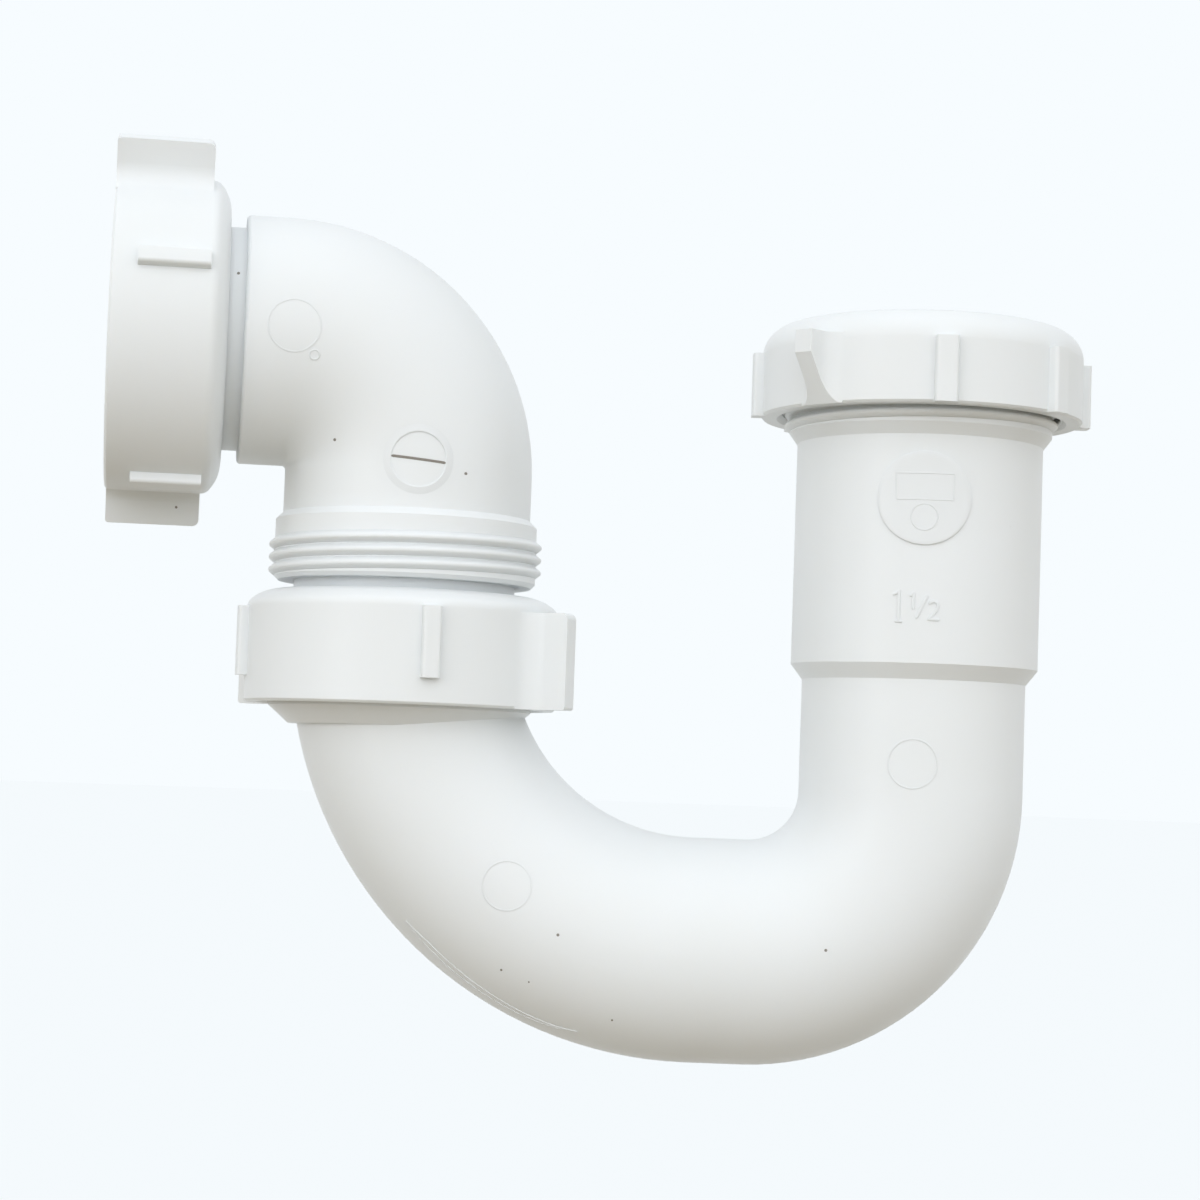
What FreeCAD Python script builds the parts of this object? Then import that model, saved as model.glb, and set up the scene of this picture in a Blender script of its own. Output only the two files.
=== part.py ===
import FreeCAD, Part
import Sketcher
import math
import os

# Sink trap in white plastic for 1 1/2 inch waste pipe: a hollow U bend, a union elbow that swivels on it,
# three slip nuts and the three tapered washers that the nuts squeeze.
# Millimetres and degrees. +Z is up. The origin is on the inlet's axis, at the foot of the washer's seat,
# where the socket's straight wall starts. Heights in the expressions count from the inlet's rim, which is
# one seat depth higher. The union's axis stands at -X, and the elbow's outlet points to -X, turned a little
# towards -Y.

DRIVING_SIZES = {
    # The whole trap
    "centre_distance": 88.9,  # inlet axis to union axis
    "bend_depth": 101.8,  # inlet rim down to the lowest run of the tube's centreline
    "union_depth": 48.4,  # inlet rim down to the rim of the bend's other end
    "elbow_drop": 41.3,  # outlet axis down to the underside of the elbow's collar
    "outlet_reach": 29.9,  # union axis out to the elbow's outlet face
    "elbow_turn": 10.0,  # how far the outlet is swivelled out of the bend's plane
    # The bend's tube
    "bend_tube": 38.5,
    "bend_wall": 2.05,
    "inlet_arc": 27.9,  # centreline radius under the inlet
    "union_arc": 51.5,  # centreline radius under the union
    # The inlet's deep socket
    "inlet_body": 42.5,
    "inlet_body_foot": 51.9,  # inlet rim down to where the body starts to taper
    "inlet_body_taper": 2.6,
    "inlet_socket": 38.7,
    "inlet_socket_depth": 51.5,
    # The threaded collars, which all the nuts fit
    "collar": 45.4,  # diameter at the root of the thread
    "inlet_collar_length": 11.65,
    "inlet_collar_taper": 2.0,
    "union_collar_length": 13.8,
    "union_collar_taper": 3.0,
    "union_socket": 39.0,
    "union_socket_depth": 13.9,
    "seat_mouth": 43.0,  # wide end of the bevelled washer seat in each rim
    "seat_depth": 2.6,
    # The elbow
    "elbow_tube": 43.0,
    "elbow_radius": 22.2,
    "elbow_bore": 34.4,
    "elbow_face_round": 0.6,
    "elbow_collar_length": 10.5,
    "elbow_collar_taper": 1.2,
    "elbow_collar_chamfer": 0.7,
    "spigot": 38.4,
    "spigot_end_gap": 0.4,  # clearance over the ledge in the union socket
    "spigot_chamfer": 1.0,
    "outlet_neck": 38.6,
    "outlet_neck_length": 11.9,
    "outlet_tip": 38.1,  # nominal waste pipe diameter
    "outlet_length": 21.4,
    # The washers
    "washer_bore": 39.1,
    "washer_flange": 44.8,
    "washer_thickness": 2.6,
    "washer_taper": 1.8,
    "seat_gap": 0.4,  # washer above the rim under it
    "roof_gap": 0.15,  # nut's roof above the washer
    # The nuts
    "nut_body": 54.0,
    "nut_bore": 48.3,  # diameter at the root of the inner thread
    "nut_hole": 39.6,
    "nut_roof": 3.0,
    "nut_height": 19.5,
    "nut_mouth": 0.9,  # lead-in chamfer of the threaded mouth
    "nut_rim_break": 0.4,
    "shoulder_width": 5.4,
    "shoulder_height": 3.2,
    "shoulder_round": 1.9,  # the tighter of the shoulder's two radii
    "rib_edge": 28.7,  # nut's axis out to a rib's edge
    "rib_width": 3.1,
    "rib_round": 0.6,
    "rib_stop": 4.4,  # how far above the open rim a rib ends
    "wing_reach": 34.5,  # nut's axis out to a wing's edge
    "wing_thickness": 2.8,
    "wing_root": 3.6,
    "wing_top_round": 1.2,
    "wing_foot_round": 0.6,
    "nut_to_elbow": 1.75,  # union nut's top up to the elbow's collar
    "outlet_nut_gap": 2.8,  # elbow's outlet face out to the outlet nut
    # The inlet nut has its own pattern
    "inlet_nut_body": 55.6,
    "inlet_nut_roof": 3.75,
    "inlet_nut_height": 16.1,
    "inlet_shoulder_height": 5.15,
    "inlet_rib_edge": 29.5,
    "inlet_rib_width": 3.8,
    "inlet_wing_reach": 32.9,
    "inlet_wing_thickness": 3.4,
    "inlet_wing_root": 3.0,
    "inlet_wing_rise": 0.95,  # how far a wing stands over the foot of the shoulder
    "inlet_wing_edge": 3.8,  # upright part of a wing's edge, above its slope
    # How far each nut happens to be screwed round
    "inlet_nut_clock": 48.0,
    "union_nut_clock": -29.7,
    "outlet_nut_clock": 25.6,
}

# Places that several pieces share, worked out from the driving sizes
RIM = "Sizes.seat_depth"
WASHER_BACK = "(Sizes.seat_gap + Sizes.washer_thickness)"
NUT_ROOF = f"({WASHER_BACK} + Sizes.roof_gap)"
UNION_RIM = "(-Sizes.union_depth)"
ELBOW_UNDERSIDE = f"({UNION_RIM} + {NUT_ROOF} + Sizes.nut_roof + Sizes.nut_to_elbow)"
OUTLET_HEIGHT = f"({ELBOW_UNDERSIDE} + Sizes.elbow_drop)"
SPIGOT_END = f"({UNION_RIM} - Sizes.union_socket_depth + Sizes.spigot_end_gap - {OUTLET_HEIGHT})"
OUTLET_NUT_REACH = "(Sizes.outlet_reach + Sizes.outlet_nut_gap + Sizes.nut_roof)"
WATERWAY = "(Sizes.bend_tube - 2 * Sizes.bend_wall)"

# Turns from a nut's or washer's own axis, which points out of its roof
SWIVEL = "rotation(vector(0; 0; 1); Sizes.elbow_turn)"
FACE_ELBOW = f"{SWIVEL} * rotation(vector(0; 1; 0); 90)"

document = FreeCAD.newDocument("sink_trap")
sheet = document.addObject("Spreadsheet::Sheet", "Sizes")


def fill_sheet():
    """Writes the driving sizes into the sheet, one aliased cell each."""
    for row, (name, size) in enumerate(DRIVING_SIZES.items(), start=1):
        sheet.set(f"A{row}", name)
        sheet.set(f"B{row}", str(size))
        sheet.setAlias(f"B{row}", name)
    document.recompute()


def number(expression):
    """What an expression of the sheet's names comes to."""
    return float(sheet.evalExpression(expression))


def new_body(label):
    """An empty body, named after the piece that it becomes."""
    body = document.addObject("PartDesign::Body", label)
    body.Label = label
    return body


def origin_feature(body, role):
    """One of the body's own origin planes or axes."""
    return next(feature for feature in body.Origin.OriginFeatures if feature.Role == role)


def new_sketch(body, name, role, height=None):
    """An empty sketch on one of the body's origin planes, or at a height over it."""
    sketch = body.newObject("Sketcher::SketchObject", name)
    sketch.AttachmentSupport = [(origin_feature(body, role), "")]
    sketch.MapMode = "FlatFace"
    if height is not None:
        sketch.setExpression("AttachmentOffset.Base.z", height)
    return sketch


def tie(sketch, edge, point, x=None, y=None):
    """Ties the coordinates of a sketch point to expressions."""
    for kind, expression in (("DistanceX", x), ("DistanceY", y)):
        if expression is not None:
            constraint = Sketcher.Constraint(kind, edge, point, number(expression))
            index = sketch.addConstraint(constraint)
            sketch.setExpression(f"Constraints[{index}]", expression)


def add_arc(sketch, start, end, centre):
    """A counter-clockwise arc between two numeric points. Returns its edge number."""
    radius = math.dist(start, centre)
    circle = Part.Circle(FreeCAD.Vector(*centre, 0), FreeCAD.Vector(0, 0, 1), radius)
    first = math.atan2(start[1] - centre[1], start[0] - centre[0])
    last = math.atan2(end[1] - centre[1], end[0] - centre[0])
    if last <= first:
        last += 2 * math.pi
    return sketch.addGeometry(Part.ArcOfCircle(circle, first, last), False)


def outline(body, name, corners, role="XZ_Plane", height=None, closed=True):
    """A sketch through corners whose coordinates are expressions.

    A corner is (x, y), with a straight edge on to the next one, or (x, y, turn, centre x, centre y), with an
    arc that turns left or right about its centre.
    """
    sketch = new_sketch(body, name, role, height)
    points = [(number(corner[0]), number(corner[1])) for corner in corners]
    count = len(corners) if closed else len(corners) - 1
    ends = []
    for index in range(count):
        corner = corners[index]
        start = points[index]
        end = points[(index + 1) % len(points)]
        if len(corner) == 2:
            line = Part.LineSegment(FreeCAD.Vector(*start, 0), FreeCAD.Vector(*end, 0))
            edge = sketch.addGeometry(line, False)
            ends.append((edge, 1, 2))
            continue
        centre = (number(corner[3]), number(corner[4]))
        if corner[2] == "left":
            edge = add_arc(sketch, start, end, centre)
            ends.append((edge, 1, 2))
        else:
            edge = add_arc(sketch, end, start, centre)
            ends.append((edge, 2, 1))
        if abs(end[1] - start[1]) >= abs(end[0] - start[0]):
            tie(sketch, edge, 3, x=corner[3])
        else:
            tie(sketch, edge, 3, y=corner[4])
    for index, (edge, start_point, end_point) in enumerate(ends):
        tie(sketch, edge, start_point, corners[index][0], corners[index][1])
        if closed or index + 1 < count:
            next_edge, next_start, _ = ends[(index + 1) % count]
            sketch.addConstraint(Sketcher.Constraint("Coincident", edge, end_point, next_edge, next_start))
        else:
            tie(sketch, edge, end_point, corners[-1][0], corners[-1][1])
    return sketch


def circle_sketch(body, name, diameter, height):
    """A level sketch of one circle on the body's upright axis. Diameter and height are expressions."""
    sketch = new_sketch(body, name, "XY_Plane", height)
    circle = Part.Circle(FreeCAD.Vector(), FreeCAD.Vector(0, 0, 1), number(diameter) / 2)
    sketch.addGeometry(circle, False)
    sketch.addConstraint(Sketcher.Constraint("Coincident", 0, 3, -1, 1))
    index = sketch.addConstraint(Sketcher.Constraint("Diameter", 0, number(diameter)))
    sketch.setExpression(f"Constraints[{index}]", diameter)
    return sketch


def turned(body, kind, name, sketch, axis=None):
    """A Revolution or Groove of a sketch, about the sketch's upright axis unless another is given."""
    feature = body.newObject(f"PartDesign::{kind}", name)
    feature.Profile = sketch
    feature.ReferenceAxis = axis or (sketch, ["V_Axis"])
    feature.Angle = 360
    return feature


def swept(body, kind, name, section, path):
    """An AdditivePipe or SubtractivePipe of a section along every edge of a path."""
    feature = body.newObject(f"PartDesign::{kind}", name)
    feature.Profile = section
    edges = [f"Edge{number_of + 1}" for number_of in range(path.GeometryCount)]
    feature.Spine = (path, edges)
    return feature


def upright_axis(sketch, x):
    """Adds an upright construction line at x, to turn the sketch about. Returns it as an axis."""
    low = FreeCAD.Vector(number(x), -1, 0)
    high = FreeCAD.Vector(number(x), 1, 0)
    line = sketch.addGeometry(Part.LineSegment(low, high), True)
    tie(sketch, line, 1, x, "-1")
    tie(sketch, line, 2, x, "1")
    return sketch, ["Axis0"]


def round_rib(body, name, inside, edge, width, foot, top, turn):
    """An upright rib drawn from above, with rounded corners, and padded from its foot to its top."""
    half = f"({width} / 2)"
    corner = f"({edge} - Sizes.rib_round)"
    flat = f"({half} - Sizes.rib_round)"
    sketch = outline(
        body,
        name + "_outline",
        [
            (inside, f"-{half}"),
            (corner, f"-{half}", "left", corner, f"-{flat}"),
            (edge, f"-{flat}"),
            (edge, flat, "left", corner, flat),
            (corner, half),
            (inside, half),
        ],
        "XY_Plane",
        foot,
    )
    sketch.AttachmentOffset = FreeCAD.Placement(
        sketch.AttachmentOffset.Base, FreeCAD.Rotation(FreeCAD.Vector(0, 0, 1), turn)
    )
    pad = body.newObject("PartDesign::Pad", name)
    pad.Profile = sketch
    pad.setExpression("Length", f"{top} - {foot}")
    return pad


def flared_wing(body, inside, outside, thickness, root, reach, foot, top):
    """An upright wing drawn from above, whose root flares into the nut's round wall."""
    half = f"({thickness} / 2)"
    root_y = f"({half} + {root})"
    root_x = f"(sqrt(({outside} / 2 + {root}) ^ 2 - {root_y} ^ 2))"
    share = f"({outside} / ({outside} + 2 * {root}))"
    sketch = outline(
        body,
        "wing_outline",
        [
            (inside, f"{root_y} * {share}"),
            (inside, f"-{root_y} * {share}"),
            (f"{root_x} * {share}", f"-{root_y} * {share}", "right", root_x, f"-{root_y}"),
            (root_x, f"-{half}"),
            (reach, f"-{half}"),
            (reach, half),
            (root_x, half, "right", root_x, root_y),
            (f"{root_x} * {share}", f"{root_y} * {share}"),
        ],
        "XY_Plane",
        foot,
    )
    pad = body.newObject("PartDesign::Pad", "wing")
    pad.Profile = sketch
    pad.setExpression("Length", f"{top} - {foot}")
    return pad


def repeat(body, feature, count, angle=360):
    """Repeats a feature at even steps round the body's upright axis."""
    pattern = body.newObject("PartDesign::PolarPattern", feature.Name + "_ring")
    pattern.Originals = [feature]
    pattern.Axis = (origin_feature(body, "Z_Axis"), [""])
    pattern.Angle = angle
    pattern.Occurrences = count
    body.Tip = pattern
    return pattern


def round_edges(body, name, radius, chosen):
    """Rounds the edges of the body's last feature that the test `chosen` picks."""
    document.recompute()
    tip = body.Tip
    edges = [f"Edge{index}" for index, edge in enumerate(tip.Shape.Edges, start=1) if chosen(edge)]
    fillet = body.newObject("PartDesign::Fillet", name)
    fillet.Base = (tip, edges)
    fillet.setExpression("Radius", radius)
    return fillet


def build_trap_bend():
    """The hollow U bend: a stepped inlet socket, two arcs and a short level run, and the union collar."""
    body = new_body("trap_bend")
    lowest = "(-Sizes.bend_depth)"
    inlet_centre = "(Sizes.inlet_arc - Sizes.bend_depth)"
    union_centre = "(Sizes.union_arc - Sizes.bend_depth)"
    union_x = "(-Sizes.centre_distance)"
    tube_top = "(Sizes.seat_depth - Sizes.inlet_body_foot)"

    # The tube, solid at first, from inside the inlet's body round to inside the union collar
    level_end = f"({union_x} + Sizes.union_arc)"
    path = outline(
        body,
        "bend_path",
        [
            ("0", tube_top),
            ("0", inlet_centre, "right", "-Sizes.inlet_arc", inlet_centre),
            ("-Sizes.inlet_arc", lowest),
            (level_end, lowest, "right", level_end, union_centre),
            (union_x, union_centre),
            (union_x, UNION_RIM),
        ],
        closed=False,
    )
    section = circle_sketch(body, "bend_section", "Sizes.bend_tube", tube_top)
    swept(body, "AdditivePipe", "bend_tube", section, path)

    # The inlet: threaded collar, its taper, the socket's body and the taper down to the tube
    body_top = "(-Sizes.inlet_collar_length - Sizes.inlet_collar_taper)"
    body_foot = "(-Sizes.inlet_body_foot)"
    inlet = outline(
        body,
        "inlet_outline",
        [
            ("0", "0"),
            ("Sizes.collar / 2", "0"),
            ("Sizes.collar / 2", "-Sizes.inlet_collar_length"),
            ("Sizes.inlet_body / 2", body_top),
            ("Sizes.inlet_body / 2", body_foot),
            ("Sizes.bend_tube / 2", f"{body_foot} - Sizes.inlet_body_taper"),
            ("0", f"{body_foot} - Sizes.inlet_body_taper"),
        ],
    )
    turned(body, "Revolution", "inlet_body", inlet)

    # The union collar and the cone under it
    cone_top = f"({UNION_RIM} - Sizes.union_collar_length)"
    cone_foot = f"({cone_top} - Sizes.union_collar_taper)"
    union = outline(
        body,
        "union_outline",
        [
            (union_x, UNION_RIM),
            (f"{union_x} + Sizes.collar / 2", UNION_RIM),
            (f"{union_x} + Sizes.collar / 2", cone_top),
            (f"{union_x} + Sizes.bend_tube / 2", cone_foot),
            (union_x, cone_foot),
        ],
    )
    turned(body, "Revolution", "union_collar", union, upright_axis(union, union_x))

    # The waterway, then the two sockets, each with the bevelled seat of a washer
    waterway = circle_sketch(body, "waterway_section", WATERWAY, tube_top)
    swept(body, "SubtractivePipe", "waterway", waterway, path)
    inlet_floor = "(-Sizes.inlet_socket_depth)"
    inlet_throat = f"({inlet_floor} - (Sizes.inlet_socket - {WATERWAY}) / 4)"
    inlet_socket = outline(
        body,
        "inlet_socket_outline",
        [
            ("0", "1"),
            ("Sizes.seat_mouth / 2", "1"),
            ("Sizes.seat_mouth / 2", "0"),
            ("Sizes.inlet_socket / 2", "-Sizes.seat_depth"),
            ("Sizes.inlet_socket / 2", inlet_floor),
            (f"{WATERWAY} / 2", inlet_throat),
            ("0", inlet_throat),
        ],
    )
    turned(body, "Groove", "inlet_socket", inlet_socket)
    union_floor = f"({UNION_RIM} - Sizes.union_socket_depth)"
    union_socket = outline(
        body,
        "union_socket_outline",
        [
            (union_x, f"{UNION_RIM} + 1"),
            (f"{union_x} + Sizes.seat_mouth / 2", f"{UNION_RIM} + 1"),
            (f"{union_x} + Sizes.seat_mouth / 2", UNION_RIM),
            (f"{union_x} + Sizes.union_socket / 2", f"{UNION_RIM} - Sizes.seat_depth"),
            (f"{union_x} + Sizes.union_socket / 2", union_floor),
            (union_x, union_floor),
        ],
    )
    turned(body, "Groove", "union_socket", union_socket, upright_axis(union_socket, union_x))
    body.setExpression("Placement.Base.z", RIM)
    return body


def build_elbow():
    """The elbow: a short-radius swept body, a threaded collar over a spigot, and the outlet's spigot.

    Its own origin is the point where the union's axis and the outlet's axis cross.
    """
    body = new_body("elbow")
    underside = "(-Sizes.elbow_drop)"
    collar_top = f"({underside} + Sizes.elbow_collar_length)"
    face = "(-Sizes.outlet_reach)"
    outlet_end = f"({face} - Sizes.outlet_length)"

    # The body bends round a line that lies one radius out along both axes
    outer_path = outline(
        body,
        "body_path",
        [
            ("0", collar_top),
            ("0", "-Sizes.elbow_radius", "left", "-Sizes.elbow_radius", "-Sizes.elbow_radius"),
            ("-Sizes.elbow_radius", "0"),
            (face, "0"),
        ],
        closed=False,
    )
    outer = circle_sketch(body, "body_section", "Sizes.elbow_tube", collar_top)
    swept(body, "AdditivePipe", "elbow_body", outer, outer_path)
    reach = number("Sizes.outlet_reach")
    round_edges(
        body,
        "outlet_face_round",
        "Sizes.elbow_face_round",
        lambda edge: edge.BoundBox.XMax < 0.001 - reach and edge.Closed,
    )

    # The collar and the spigot that drops into the bend
    collar = outline(
        body,
        "collar_outline",
        [
            ("0", f"{collar_top} + Sizes.elbow_collar_taper"),
            ("Sizes.elbow_tube / 2", f"{collar_top} + Sizes.elbow_collar_taper"),
            ("Sizes.collar / 2", collar_top),
            ("Sizes.collar / 2", f"{underside} + Sizes.elbow_collar_chamfer"),
            ("Sizes.collar / 2 - Sizes.elbow_collar_chamfer", underside),
            ("Sizes.spigot / 2", underside),
            ("Sizes.spigot / 2", f"{SPIGOT_END} + Sizes.spigot_chamfer"),
            ("Sizes.spigot / 2 - Sizes.spigot_chamfer", SPIGOT_END),
            ("0", SPIGOT_END),
        ],
    )
    turned(body, "Revolution", "collar_and_spigot", collar)

    # The outlet: a neck that the nut and washer ride on, and the pipe-sized tip
    step = f"({face} - Sizes.outlet_neck_length)"
    outlet = outline(
        body,
        "outlet_outline",
        [
            (f"{face} + 1", "0"),
            (outlet_end, "0"),
            (outlet_end, "Sizes.outlet_tip / 2 - Sizes.spigot_chamfer"),
            (f"{outlet_end} + Sizes.spigot_chamfer", "Sizes.outlet_tip / 2"),
            (step, "Sizes.outlet_tip / 2"),
            (step, "Sizes.outlet_neck / 2"),
            (f"{face} + 1", "Sizes.outlet_neck / 2"),
        ],
    )
    turned(body, "Revolution", "outlet_spigot", outlet, (outlet, ["H_Axis"]))

    # One waterway from the spigot's end round to the outlet's end
    bore_path = outline(
        body,
        "waterway_path",
        [
            ("0", f"{SPIGOT_END} - 1"),
            ("0", "-Sizes.elbow_radius", "left", "-Sizes.elbow_radius", "-Sizes.elbow_radius"),
            ("-Sizes.elbow_radius", "0"),
            (f"{outlet_end} - 1", "0"),
        ],
        closed=False,
    )
    bore = circle_sketch(body, "waterway_section", "Sizes.elbow_bore", f"{SPIGOT_END} - 1")
    swept(body, "SubtractivePipe", "waterway", bore, bore_path)
    body.setExpression("Placement.Base.x", "-Sizes.centre_distance")
    body.setExpression("Placement.Base.z", f"{RIM} + {OUTLET_HEIGHT}")
    body.setExpression("Placement.Rotation", SWIVEL)
    return body


def build_washer(label):
    """A tapered slip-joint washer. Its flat back is at height 0 and its taper points down."""
    body = new_body(label)
    slope = "((Sizes.seat_mouth - Sizes.union_socket) / 2 / Sizes.seat_depth)"
    tip = "(-Sizes.washer_thickness - Sizes.washer_taper)"
    section = outline(
        body,
        "washer_outline",
        [
            ("Sizes.washer_bore / 2", "0"),
            ("Sizes.washer_flange / 2", "0"),
            ("Sizes.washer_flange / 2", "-Sizes.washer_thickness"),
            ("Sizes.seat_mouth / 2", "-Sizes.washer_thickness"),
            (f"Sizes.seat_mouth / 2 - Sizes.washer_taper * {slope}", tip),
            ("Sizes.washer_bore / 2", tip),
        ],
    )
    turned(body, "Revolution", "washer_ring", section)
    return body


def nut_shell(body, outside, roof, height, shoulder):
    """The turned shell of a nut: an oval shoulder, a roof with the pipe's hole, and the threaded cavity.

    The roof's underside is at height 0 and the open rim hangs below it.
    """
    rim = f"({roof} - {height})"
    side = f"({outside} / 2)"
    crease = f"({roof} - {shoulder})"
    crown = f"({side} - Sizes.shoulder_width)"
    # The shoulder's two radii meet on the line through both their centres
    tight = "Sizes.shoulder_round"
    square = f"(Sizes.shoulder_width ^ 2 + {shoulder} ^ 2 - 2 * Sizes.shoulder_width * {tight})"
    wide = f"({square} / (2 * ({shoulder} - {tight})))"
    meet_x = f"{side} - {tight} + {tight} * (Sizes.shoulder_width - {tight}) / ({wide} - {tight})"
    meet_z = f"{crease} + {tight} * ({wide} - {shoulder}) / ({wide} - {tight})"
    section = outline(
        body,
        "shell_outline",
        [
            ("Sizes.nut_hole / 2", "0"),
            ("Sizes.nut_bore / 2", "0"),
            ("Sizes.nut_bore / 2", f"{rim} + Sizes.nut_mouth"),
            ("Sizes.nut_bore / 2 + Sizes.nut_mouth", rim),
            (f"{side} - Sizes.nut_rim_break", rim),
            (side, f"{rim} + Sizes.nut_rim_break"),
            (side, crease, "left", f"{side} - {tight}", crease),
            (meet_x, meet_z, "left", crown, f"{roof} - {wide}"),
            (crown, roof),
            ("Sizes.nut_hole / 2", roof),
        ],
    )
    turned(body, "Revolution", "nut_shell", section)
    return rim, crease


def build_winged_nut(label):
    """The nut of the union and of the outlet: two full-height wings, and four shorter ribs between them."""
    body = new_body(label)
    rim, crease = nut_shell(
        body,
        "Sizes.nut_body",
        "Sizes.nut_roof",
        "Sizes.nut_height",
        "Sizes.shoulder_height",
    )
    inside = "((Sizes.nut_bore + Sizes.nut_body) / 4)"
    rib_foot = f"({rim} + Sizes.rib_stop)"
    rib = round_rib(body, "rib", inside, "Sizes.rib_edge", "Sizes.rib_width", rib_foot, crease, 45)
    repeat(body, rib, 4)

    wing = flared_wing(
        body,
        inside,
        "Sizes.nut_body",
        "Sizes.wing_thickness",
        "Sizes.wing_root",
        "Sizes.wing_reach",
        rim,
        crease,
    )
    repeat(body, wing, 2)
    tip_x = number("Sizes.wing_reach") - 0.001

    def at_tip(edge, height):
        far = edge.BoundBox.XMin > tip_x or edge.BoundBox.XMax < -tip_x
        level = abs(edge.BoundBox.ZMin - height) < 0.001 and abs(edge.BoundBox.ZMax - height) < 0.001
        return far and level

    top_height = number(crease)
    foot_height = number(rim)
    round_edges(body, "wing_tops", "Sizes.wing_top_round", lambda edge: at_tip(edge, top_height))
    round_edges(body, "wing_feet", "Sizes.wing_foot_round", lambda edge: at_tip(edge, foot_height))
    return body


def build_inlet_nut():
    """The inlet's nut: six ribs that run down to its rim, and two stub wings that slope back to it."""
    body = new_body("inlet_nut")
    rim, crease = nut_shell(
        body,
        "Sizes.inlet_nut_body",
        "Sizes.inlet_nut_roof",
        "Sizes.inlet_nut_height",
        "Sizes.inlet_shoulder_height",
    )
    inside = "((Sizes.nut_bore + Sizes.inlet_nut_body) / 4)"
    wing_top = f"({crease} + Sizes.inlet_wing_rise)"
    wing = flared_wing(
        body,
        inside,
        "Sizes.inlet_nut_body",
        "Sizes.inlet_wing_thickness",
        "Sizes.inlet_wing_root",
        "Sizes.inlet_wing_reach",
        rim,
        wing_top,
    )
    repeat(body, wing, 2)

    # The slope under each wing, cut before the ribs are there
    slope = outline(
        body,
        "wing_slope_outline",
        [
            ("Sizes.inlet_nut_body / 2", rim),
            ("Sizes.inlet_wing_reach", f"{wing_top} - Sizes.inlet_wing_edge"),
            ("Sizes.inlet_wing_reach + 1", f"{wing_top} - Sizes.inlet_wing_edge"),
            ("Sizes.inlet_wing_reach + 1", f"{rim} - 1"),
            ("Sizes.inlet_nut_body / 2", f"{rim} - 1"),
        ],
    )
    turned(body, "Groove", "wing_slope", slope)
    edge = "Sizes.inlet_rib_edge"
    width = "Sizes.inlet_rib_width"
    for name, turn in (("near_rib", 45), ("far_rib", 225)):
        rib = round_rib(body, name, inside, edge, width, rim, crease, turn)
        repeat(body, rib, 3, 90)
    return body


def stand(body, x, rim, height, clock="0"):
    """Places a nut or washer upright over the rim that it closes."""
    body.setExpression("Placement.Base.x", x)
    body.setExpression("Placement.Base.z", f"{RIM} + {rim} + {height}")
    body.setExpression("Placement.Rotation", f"rotation(vector(0; 0; 1); {clock})")


def hang_on_outlet(body, reach, clock="0"):
    """Places a nut or washer on the outlet's axis, with its mouth or taper towards the waste pipe."""
    body.setExpression("Placement.Base.x", f"-Sizes.centre_distance - {reach} * cos(Sizes.elbow_turn)")
    body.setExpression("Placement.Base.y", f"-{reach} * sin(Sizes.elbow_turn)")
    body.setExpression("Placement.Base.z", f"{RIM} + {OUTLET_HEIGHT}")
    body.setExpression("Placement.Rotation", f"{FACE_ELBOW} * rotation(vector(0; 0; 1); {clock})")


def export(bodies):
    """Checks every object, then writes one file for each piece."""
    failed = [item.Name for item in document.Objects if {"Invalid", "Error"} & set(item.State)]
    if failed:
        raise RuntimeError(f"these features failed: {failed}")
    for body in bodies:
        if body.Shape.isNull() or not body.Shape.isValid() or len(body.Shape.Solids) != 1:
            raise RuntimeError(f"{body.Label} is not one valid solid")
    os.makedirs("parts", exist_ok=True)
    for body in bodies:
        body.Shape.exportStep(f"parts/{body.Label}.step")


fill_sheet()
trap_bend = build_trap_bend()
elbow = build_elbow()
inlet_nut = build_inlet_nut()
stand(inlet_nut, "0", "0", NUT_ROOF, "Sizes.inlet_nut_clock")
inlet_washer = build_washer("inlet_washer")
stand(inlet_washer, "0", "0", WASHER_BACK)
union_nut = build_winged_nut("union_nut")
stand(union_nut, "-Sizes.centre_distance", UNION_RIM, NUT_ROOF, "Sizes.union_nut_clock")
union_washer = build_washer("union_washer")
stand(union_washer, "-Sizes.centre_distance", UNION_RIM, WASHER_BACK)
outlet_nut = build_winged_nut("outlet_nut")
hang_on_outlet(outlet_nut, OUTLET_NUT_REACH, "Sizes.outlet_nut_clock")
outlet_washer = build_washer("outlet_washer")
hang_on_outlet(outlet_washer, f"({OUTLET_NUT_REACH} + Sizes.roof_gap)")
document.recompute()
export([trap_bend, inlet_nut, inlet_washer, union_nut, union_washer, elbow, outlet_nut, outlet_washer])
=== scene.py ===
"""Looks for a white plastic sink trap: moulded surfaces, screw threads, relief marks and a plain studio."""

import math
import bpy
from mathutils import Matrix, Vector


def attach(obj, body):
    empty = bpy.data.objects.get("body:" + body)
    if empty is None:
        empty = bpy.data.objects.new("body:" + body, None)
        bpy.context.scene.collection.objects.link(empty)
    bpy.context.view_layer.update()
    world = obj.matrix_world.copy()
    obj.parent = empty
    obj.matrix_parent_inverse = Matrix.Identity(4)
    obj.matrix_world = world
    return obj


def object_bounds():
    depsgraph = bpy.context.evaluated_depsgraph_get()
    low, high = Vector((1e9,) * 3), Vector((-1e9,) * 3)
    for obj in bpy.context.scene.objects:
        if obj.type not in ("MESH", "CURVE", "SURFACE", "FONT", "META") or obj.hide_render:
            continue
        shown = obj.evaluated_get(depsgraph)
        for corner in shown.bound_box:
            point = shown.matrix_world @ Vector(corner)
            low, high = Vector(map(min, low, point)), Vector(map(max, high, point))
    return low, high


bl_info = {
    "name": "Sink trap",
    "version": (1, 0, 0),
    "blender": (4, 5, 0),
    "location": "3D View > Sidebar > Sink Trap",
    "description": "Finishes a moulded plastic sink trap and lights it in a plain studio",
    "category": "Object",
}

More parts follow.
